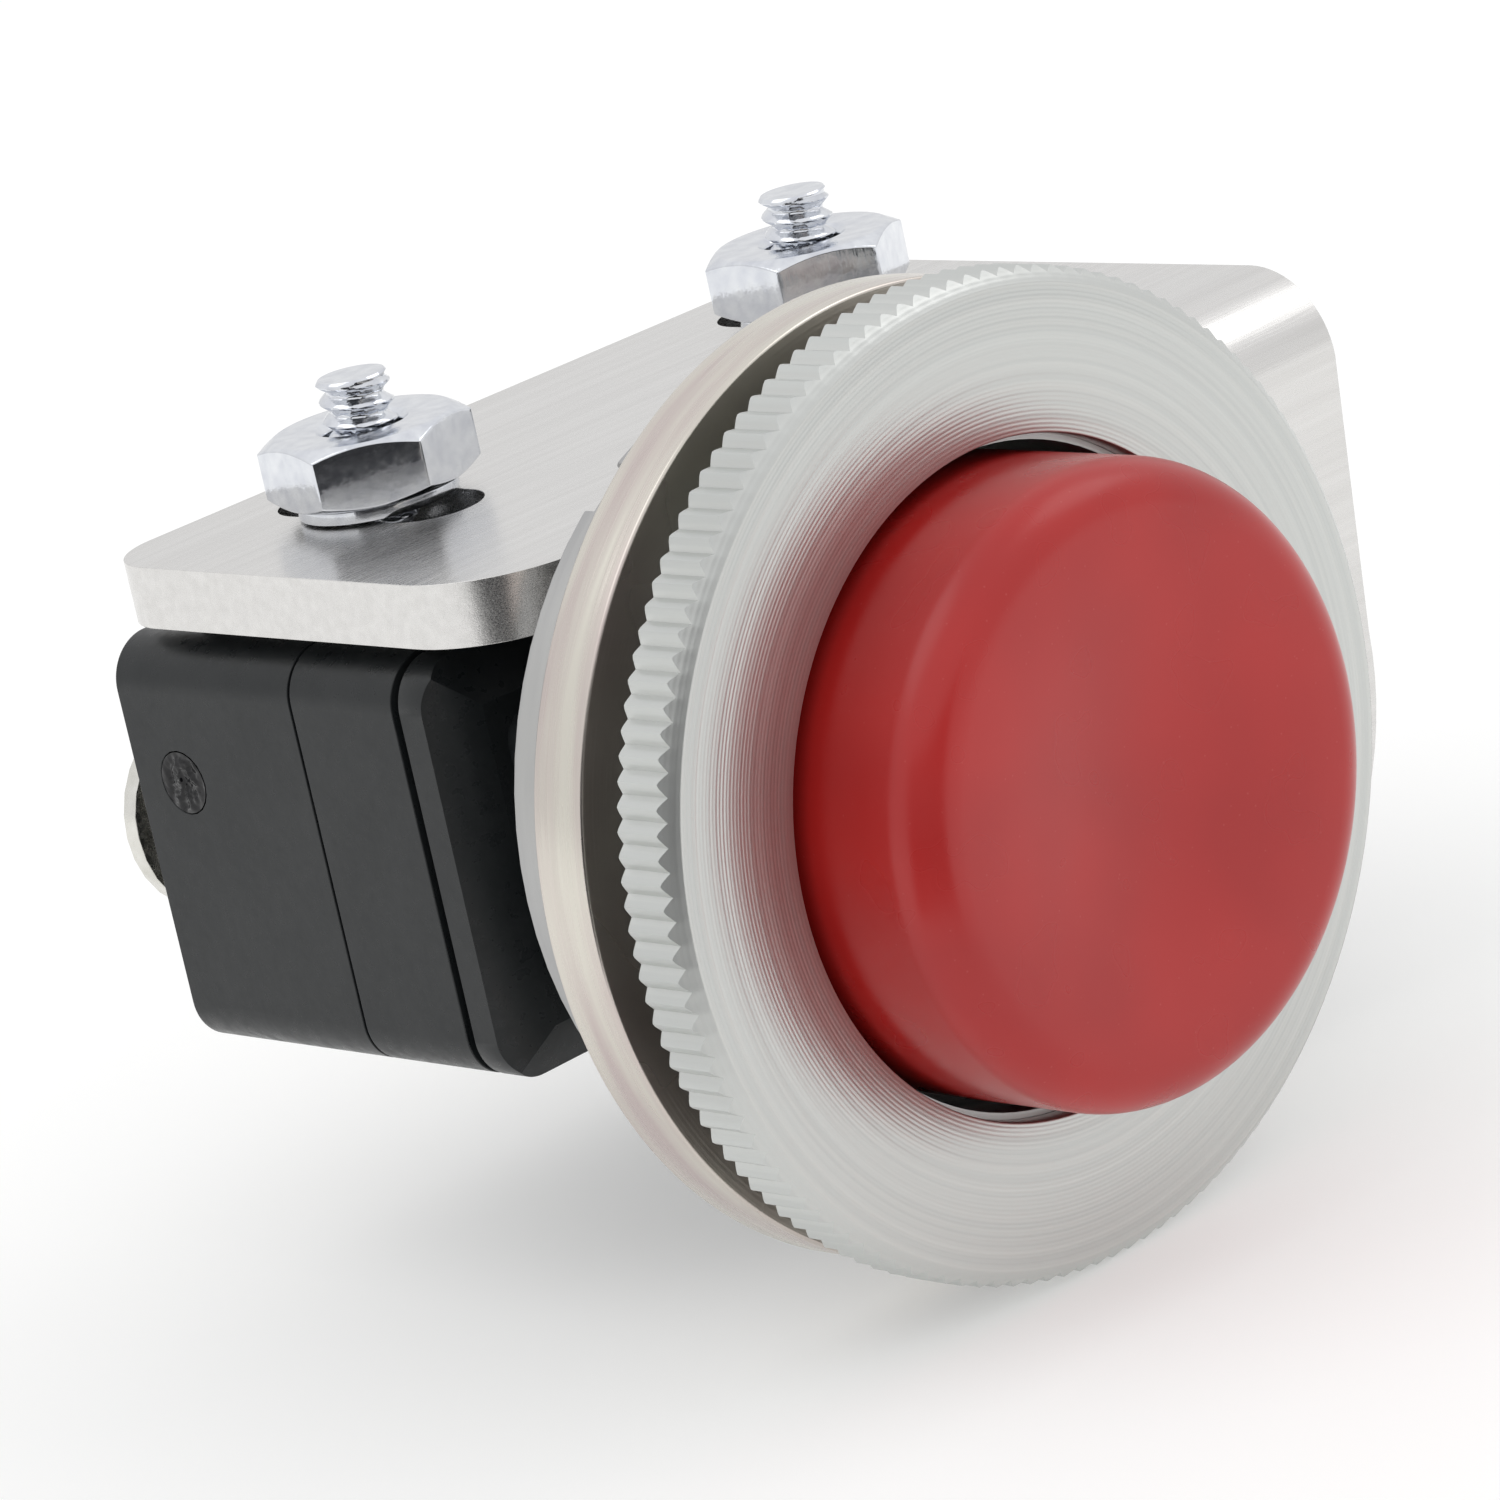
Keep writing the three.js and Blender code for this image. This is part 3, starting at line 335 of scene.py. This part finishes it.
def surface(rows, wrap_rows=True, wrap_points=False):
    """Faces between neighbouring rows of points. Points that meet are joined."""
    mesh = bmesh.new()
    grid = [[mesh.verts.new(point) for point in row] for row in rows]
    for i in range(len(grid) - (0 if wrap_rows else 1)):
        here, there = grid[i], grid[(i + 1) % len(grid)]
        for j in range(len(here) - (0 if wrap_points else 1)):
            k = (j + 1) % len(here)
            mesh.faces.new((here[j], there[j], there[k], here[k]))
    if wrap_points and not wrap_rows:
        mesh.faces.new(grid[0])
        mesh.faces.new(grid[-1][::-1])
    bmesh.ops.remove_doubles(mesh, verts=mesh.verts[:], dist=1e-7)
    return mesh


def softened(points, radius, steps=4, closed=True):
    """An outline with each corner rounded off, from radius before it to radius after."""
    result = []
    for i, point in enumerate(points):
        corner = Vector(point)
        if not closed and i in (0, len(points) - 1):
            result.append(corner)
            continue
        before = Vector(points[i - 1]) - corner
        after = Vector(points[(i + 1) % len(points)]) - corner
        reach = min(radius, before.length / 2.2, after.length / 2.2)
        start = corner + before.normalized() * reach
        end = corner + after.normalized() * reach
        for step in range(steps + 1):
            t = step / steps
            result.append((1 - t) ** 2 * start + 2 * t * (1 - t) * corner + t * t * end)
    return result


def turned(profile, sides, closed):
    """A body of revolution about Y from (radius, y) points."""
    rows = []
    for i in range(sides):
        angle = TURN * i / sides
        rows.append([(r * math.cos(angle), y, r * math.sin(angle)) for r, y in profile])
    return surface(rows, wrap_points=closed)


def piece(name, mesh, body, slot, *replaced, sharp=35, bevel=0.0):
    """A finished piece from a bmesh: smooth, with its material, on its body."""
    bmesh.ops.recalc_face_normals(mesh, faces=mesh.faces[:])
    data = bpy.data.meshes.new(name)
    mesh.to_mesh(data)
    mesh.free()
    data.materials.append(looks[slot])
    obj = bpy.data.objects.new(name, data)
    bpy.context.scene.collection.objects.link(obj)
    finish_surface(obj, sharp, bevel)
    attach(obj, body)
    if replaced:
        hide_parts(*replaced)
    return obj


def finish_surface(obj, sharp, bevel, merge=False):
    """Smooth shading that breaks at sharp edges, or a small round on those edges. merge is
    for the CAD's meshes, which come as loose triangles: it joins them into whole faces."""
    for polygon in obj.data.polygons:
        polygon.use_smooth = True
    if merge:
        for name in ("custom_normal", "sharp_edge", "sharp_face"):
            if name in obj.data.attributes:
                obj.data.attributes.remove(obj.data.attributes[name])
        joined = obj.modifiers.new("joined_triangles", "WELD")
        joined.merge_threshold = 1e-6
        flat = obj.modifiers.new("flat_faces", "DECIMATE")
        flat.decimate_type = "DISSOLVE"
        flat.angle_limit = math.radians(0.6)
    if bevel:
        rounds = obj.modifiers.new("edge_rounds", "BEVEL")
        rounds.width = bevel
        rounds.segments = 3
        rounds.limit_method = "ANGLE"
        rounds.angle_limit = math.radians(sharp)
        normals = obj.modifiers.new("even_normals", "WEIGHTED_NORMAL")
        normals.mode = "FACE_AREA"
        normals.keep_sharp = False
    else:
        obj.data.set_sharp_from_angle(angle=math.radians(sharp))


def thread_profile(turns):
    """0 on a thread's crest and 1 at its root, from how many turns along it is."""
    from_crest = abs(2 * (turns % 1.0) - 1)
    return min(1.0, max(0.0, (from_crest - THREAD_CREST) / THREAD_FLANK))


# ---------- bezel, washer and bushing ----------


def knurled_bezel():
    low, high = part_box("bezel_ring")
    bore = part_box("button_cap")[1].x + BEZEL_GAP
    thread_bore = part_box("threaded_bushing")[1].x + THREAD_CLEARANCE
    flat_r = high.x - KNURL_DEPTH - KNURL_CHAMFER
    rows = []
    count = KNURL_TEETH * KNURL_STEPS
    for i in range(count):
        angle = TURN * i / count
        from_crest = abs(((i / KNURL_STEPS + 0.5) % 1.0) * 2 - 1)
        rounded = math.sqrt(from_crest**2 + KNURL_CREST) - math.sqrt(KNURL_CREST)
        r = high.x - KNURL_DEPTH * rounded
        profile = [
            (bore, low.y + BEZEL_EDGE),
            (bore + BEZEL_EDGE * 0.3, low.y + BEZEL_EDGE * 0.3),
            (bore + BEZEL_EDGE, low.y),
            (flat_r - BEZEL_EDGE, low.y),
            (flat_r, low.y + BEZEL_EDGE * 0.3),
            (r, low.y + r - flat_r),
            (r, high.y - BEZEL_EDGE),
            (r - BEZEL_EDGE, high.y),
            (thread_bore, high.y),
            (thread_bore, low.y + BEZEL_LIP),
            (bore, low.y + BEZEL_LIP),
        ]
        rows.append([(d * math.cos(angle), y, d * math.sin(angle)) for d, y in profile])
    mesh = surface(rows, wrap_points=True)
    return piece("knurled_bezel", mesh, "housing", "satin_aluminium", "bezel_ring", sharp=32)


def turned_washer():
    low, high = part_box("panel_washer")
    corners = [(WASHER_BORE_R, low.y), (high.x, low.y), (high.x, high.y), (WASHER_BORE_R, high.y)]
    mesh = turned(softened(corners, WASHER_EDGE), 240, closed=True)
    return piece("turned_washer", mesh, "housing", "pale_zinc", "panel_washer")


def bushing():
    low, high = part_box("threaded_bushing")
    bore = high.x - BUSHING_WALL
    steps = round((high.y - low.y) / BUSHING_PITCH) * 8
    wall_rear = REAR_WALL_FRONT + REAR_WALL
    rows = []
    for i in range(BUSHING_SIDES):
        angle = TURN * i / BUSHING_SIDES
        profile = [(bore, wall_rear), (REAR_HOLE_R, wall_rear), (REAR_HOLE_R, REAR_WALL_FRONT),
                   (bore, REAR_WALL_FRONT), (bore, low.y)]
        for j in range(steps + 1):
            y = low.y + (high.y - low.y) * j / steps
            depth = thread_profile(y / BUSHING_PITCH + i / BUSHING_SIDES) * BUSHING_THREAD
            ends = max(0.0, BUSHING_THREAD - min(y - low.y, high.y - y))
            profile.append((high.x - max(depth, ends), y))
        profile.append((bore, high.y))
        rows.append([(r * math.cos(angle), y, r * math.sin(angle)) for r, y in profile])
    mesh = surface(rows, wrap_points=True)
    return piece("bushing", mesh, "housing", "grey_zinc", "threaded_bushing")


# ---------- button ----------


def button():
    low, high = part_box("button_cap")
    radius = high.x
    flat_r = radius - BUTTON_RIM
    ceiling = low.y + BUTTON_DISH + BUTTON_WALL
    boss_rear = ceiling + BUTTON_BOSS_LENGTH
    profile = []
    for i in range(33):
        r = flat_r * i / 32
        profile.append((r, low.y + BUTTON_DISH / 2 * (1 + math.cos(math.pi * r / flat_r))))
    for i in range(1, 19):
        angle = math.pi / 2 * i / 18
        r = flat_r + BUTTON_RIM * math.sin(angle)
        profile.append((r, low.y + BUTTON_RIM * (1 - math.cos(angle))))
    inner = [
        (radius, low.y + BUTTON_RIM),
        (radius, high.y),
        (radius - BUTTON_WALL, high.y),
        (radius - BUTTON_WALL, ceiling),
        (BUTTON_BOSS_R, ceiling),
        (BUTTON_BOSS_R, boss_rear),
        (STEM_HOLE_R, boss_rear),
        (STEM_HOLE_R, boss_rear - STEM_SEAT),
        (0.0, boss_rear - STEM_SEAT),
    ]
    profile += softened(inner, 0.25 * MM, closed=False)[1:]
    return piece("button", turned(profile, 180, closed=False), "button", "red_plastic", "button_cap")


# ---------- springs ----------


def coil(node, wire, turns, joint):
    """A round wire wound about Y. wire is its radius."""
    low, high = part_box(node)
    winding_r = high.x - wire
    count = turns * 36
    rows = []
    for i in range(count + 1):
        angle = TURN * turns * i / count
        centre = Vector((0, low.y + wire + (high.y - low.y - 2 * wire) * i / count, 0))
        out = Vector((math.cos(angle), 0, math.sin(angle)))
        row = []
        for j in range(12):
            around = TURN * j / 12
            along = Vector((0, wire * math.sin(around), 0))
            row.append(centre + out * (winding_r + wire * math.cos(around)) + along)
        rows.append(row)
    mesh = surface(rows, wrap_rows=False, wrap_points=True)
    spring = piece(node + "_wire", mesh, "housing", "spring_steel", node)
    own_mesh(spring)
    return spring


# ---------- nuts, washers and screws ----------


def upright_rows(centre, profiles):
    """Rows round a vertical axis at centre, one profile of (radius, z) for each angle."""
    rows = []
    for angle, profile in profiles:
        x, y = math.cos(angle), math.sin(angle)
        rows.append([(centre.x + r * x, centre.y + r * y, z) for r, z in profile])
    return rows


def screw_centre(side):
    low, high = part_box("mounting_screw_" + side)
    return (low + high) / 2


def hex_nut(side):
    low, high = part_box("hex_nut_" + side)
    turn = math.radians(NUT_TURNS[side])
    profiles = []
    for i in range(NUT_SIDES):
        angle = turn + TURN * i / NUT_SIDES
        from_flat = (angle - turn) % (TURN / 6) - TURN / 12
        r = NUT_FLATS / 2 / math.cos(from_flat)
        drop = max(0.02 * MM, (r - NUT_FACE_R) * NUT_SLOPE)
        profiles.append((angle, [
            (NUT_BORE_R, low.z + NUT_LEAD),
            (NUT_BORE_R + NUT_LEAD, low.z),
            (NUT_FACE_R, low.z),
            (r, low.z + drop),
            (r, high.z - drop),
            (NUT_FACE_R, high.z),
            (NUT_BORE_R + NUT_LEAD, high.z),
            (NUT_BORE_R, high.z - NUT_LEAD),
        ]))
    mesh = surface(upright_rows(screw_centre(side), profiles), wrap_points=True)
    replaced = "hex_nut_" + side
    return piece("nut_" + side, mesh, "housing", "bright_zinc", replaced, sharp=20, bevel=0.07 * MM)


def lock_washer(side):
    low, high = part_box("lock_washer_" + side)
    centre = screw_centre(side)
    outer = centre.x - low.x
    thickness = (high.z - low.z) * LOCK_WASHER_SHARE
    opening = math.radians(LOCK_WASHER_SPLIT)
    profiles = []
    for i in range(LOCK_WASHER_STEPS + 1):
        share = i / LOCK_WASHER_STEPS
        base = low.z + (high.z - low.z - thickness) * share
        top = base + thickness
        section = [(NUT_BORE_R, base), (outer, base), (outer, top), (NUT_BORE_R, top)]
        angle = opening / 2 + (TURN - opening) * share
        profiles.append((angle, softened(section, 0.08 * MM, steps=2)))
    mesh = surface(upright_rows(centre, profiles), wrap_rows=False, wrap_points=True)
    return piece("spring_washer_" + side, mesh, "housing", "bright_zinc", "lock_washer_" + side)


def screw(side):
    low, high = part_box("mounting_screw_" + side)
    centre = screw_centre(side)
    under = low.z + SCREW_HEAD
    head = [
        (0.0, low.z + SCREW_SLOT),
        (SCREW_HEAD_R * 0.5, low.z + SCREW_SLOT),
        (SCREW_HEAD_R * 0.5, low.z),
        (SCREW_HEAD_R * 0.76, low.z + 0.05 * MM),
        (SCREW_HEAD_R * 0.95, low.z + SCREW_HEAD * 0.45),
        (SCREW_HEAD_R, under - 0.2 * MM),
        (SCREW_HEAD_R, under),
        (SCREW_R, under),
    ]
    steps = round((high.z - under) / SCREW_PITCH * 10)
    profiles = []
    for i in range(SCREW_SIDES):
        shank = []
        for j in range(1, steps + 1):
            z = under + (high.z - under) * j / steps
            depth = thread_profile(z / SCREW_PITCH + i / SCREW_SIDES) * SCREW_THREAD
            depth *= min(1.0, (high.z - z) / SCREW_RUN_OUT)
            tip = max(0.0, SCREW_TIP_CHAMFER - (high.z - z))
            shank.append((SCREW_R - max(depth, tip), z))
        profiles.append((TURN * i / SCREW_SIDES, head + shank + [(0.0, high.z)]))
    mesh = surface(upright_rows(centre, profiles))
    return piece("screw_" + side, mesh, "housing", "bright_zinc", "mounting_screw_" + side, sharp=40)


# ---------- end plug ----------


def lumpy_plug():
    """Poured resin in the case's end: a disc level with the face at its rim, with lumps
    that stand proud of the face and hollows that sink below it."""
    low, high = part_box("end_plug")
    centre = (low + high) / 2
    radius = (high.z - low.z) / 2
    face = low.x + PLUG_PROUD
    rows = []
    for i in range(72):
        angle = TURN * i / 72
        y, z = math.cos(angle), math.sin(angle)
        row = []
        for j in range(19):
            r = radius * j / 18
            lump = noise.fractal(Vector((y * r, z * r, 0)) * 1900, 0.9, 2.0, 3)
            height = max(-1.0, min(1.0, lump * 1.6)) * (1 - (j / 18) ** 6)
            row.append((face - PLUG_PROUD * height, centre.y + y * r, centre.z + z * r))
        row.append((high.x, centre.y + y * radius, centre.z + z * radius))
        row.append((high.x, centre.y, centre.z))
        rows.append(row)
    return piece("poured_plug", surface(rows), "housing", "black_resin", "end_plug", sharp=60)


# ---------- the object ----------

slots = {part["node"]: part["material_slot"] for part in frame["record"]["subparts"]}
EDGE_ROUNDS = {
    "mounting_bracket": 0.18,
    "switch_rear_case": 0.45,
    "switch_middle_case": 0.12,
    "switch_front_cover": 0.25,
    "jam_nut": 0.1,
}
for name, node in nodes.items():
    node.data.materials.clear()
    node.data.materials.append(looks[slots[name]])
    finish_surface(node, 30, EDGE_ROUNDS.get(name, 0.06) * MM, merge=True)

knurled_bezel()
turned_washer()
bushing()
button()
for name, spec in SPRINGS.items():
    coil(name, **spec)
for side in ("left", "right"):
    hex_nut(side)
    lock_washer(side)
    screw(side)
lumpy_plug()


# ---------- camera ----------


def photograph_camera():
    azimuth, elevation, roll = (math.radians(a) for a in (AZIMUTH, ELEVATION, ROLL))
    back = Vector((
        math.sin(azimuth) * math.cos(elevation),
        -math.cos(azimuth) * math.cos(elevation),
        math.sin(elevation),
    ))
    level = (-back).cross(Vector((0, 0, 1))).normalized()
    upright = level.cross(-back)
    right = level * math.cos(roll) + upright * math.sin(roll)
    up = upright * math.cos(roll) - level * math.sin(roll)
    camera = bpy.data.objects.new("camera", bpy.data.cameras.new("camera"))
    bpy.context.scene.collection.objects.link(camera)
    camera.data.lens = LENS
    camera.data.sensor_width = 36
    camera.data.clip_start = 0.01
    camera.data.clip_end = 20
    camera.matrix_world = Matrix.Translation(
        back * DISTANCE - right * AXIS_RIGHT + up * AXIS_DOWN
    ) @ Matrix((right, up, back)).transposed().to_4x4()
    bpy.context.scene.camera = camera
    return back


towards_camera = photograph_camera()


# ---------- floor and light ----------


def floor():
    mesh = bmesh.new()
    bmesh.ops.create_circle(mesh, cap_ends=True, segments=96, radius=4.0)
    data = bpy.data.meshes.new("floor")
    mesh.to_mesh(data)
    mesh.free()
    paint = Look("floor", (0.68, 0.68, 0.675), 0.0, 0.95)
    paint.put(**{"Emission Color": (1.0, 1.0, 0.99, 1), "Emission Strength": 0.33})
    data.materials.append(paint.material)
    obj = bpy.data.objects.new("floor", data)
    bpy.context.scene.collection.objects.link(obj)
    obj.location.z = cad_box[0].z - 0.05 * MM


def softbox(name, towards, distance, size, power):
    """A square area light that stands in a direction from the object and faces it."""
    data = bpy.data.lights.new(name, "AREA")
    data.size = size
    data.energy = power
    obj = bpy.data.objects.new(name, data)
    bpy.context.scene.collection.objects.link(obj)
    direction = Vector(towards).normalized()
    obj.location = direction * distance
    obj.rotation_euler = direction.to_track_quat("Z", "Y").to_euler()


def dark_card(towards):
    """A dark card on the camera's side, which only reflections see: it gives the
    metal its dark facets, as the dark room behind a camera does."""
    middle = math.atan2(towards.y, towards.x)
    mesh = bmesh.new()
    rows = []
    for i in range(25):
        angle = middle + CARD_HALF_WIDTH * (i - 12) / 12
        x, y = math.cos(angle), math.sin(angle)
        rows.append([mesh.verts.new((x * r, y * r, z)) for r, z in CARD_PROFILE])
    for here, there in zip(rows, rows[1:]):
        for j in range(len(here) - 1):
            mesh.faces.new((here[j], there[j], there[j + 1], here[j + 1]))
    data = bpy.data.meshes.new("dark_card")
    mesh.to_mesh(data)
    mesh.free()
    paint = Look("dark_card", (0.02, 0.02, 0.022), 0.0, 0.9)
    data.materials.append(paint.material)
    obj = bpy.data.objects.new("dark_card", data)
    bpy.context.scene.collection.objects.link(obj)
    obj.location.z = cad_box[0].z
    obj.visible_camera = False
    obj.visible_diffuse = False
    obj.visible_shadow = False


def studio():
    """A white tent, a little brighter above. Where the camera looks it is plain white."""
    world = bpy.data.worlds.new("studio")
    bpy.context.scene.world = world
    world.use_nodes = True
    tree = world.node_tree
    tree.nodes.clear()

    def add(kind, inputs=None):
        return add_node(tree, kind, inputs, {})

    direction = add("TexCoord").outputs["Generated"]
    height = add("SeparateXYZ", {0: direction}).outputs["Z"]
    ramp = add("ValToRGB", {0: add("MapRange", {0: height, 1: -1.0, 2: 1.0}).outputs[0]})
    ramp.color_ramp.elements[0].position = 0.45
    ramp.color_ramp.elements[0].color = (0.78, 0.78, 0.78, 1)
    ramp.color_ramp.elements[1].position = 0.9
    ramp.color_ramp.elements[1].color = (0.92, 0.92, 0.93, 1)
    light = add("Background", {0: ramp.outputs[0], 1: 1.02})
    seen = add("Background", {0: (1.0, 1.0, 1.0, 1), 1: 1.0})
    path = add("LightPath")
    both = add("MixShader", {0: path.outputs["Is Camera Ray"], 1: light.outputs[0], 2: seen.outputs[0]})
    add("OutputWorld", {"Surface": both.outputs[0]})


floor()
dark_card(towards_camera)
studio()
softbox("overhead", (0.62, -0.3, 0.75), 0.7, 0.35, 0.42)
softbox("fill", (-0.5, 0.3, 1), 0.8, 0.5, 0.6)
bpy.context.scene.view_settings.view_transform = "Standard"
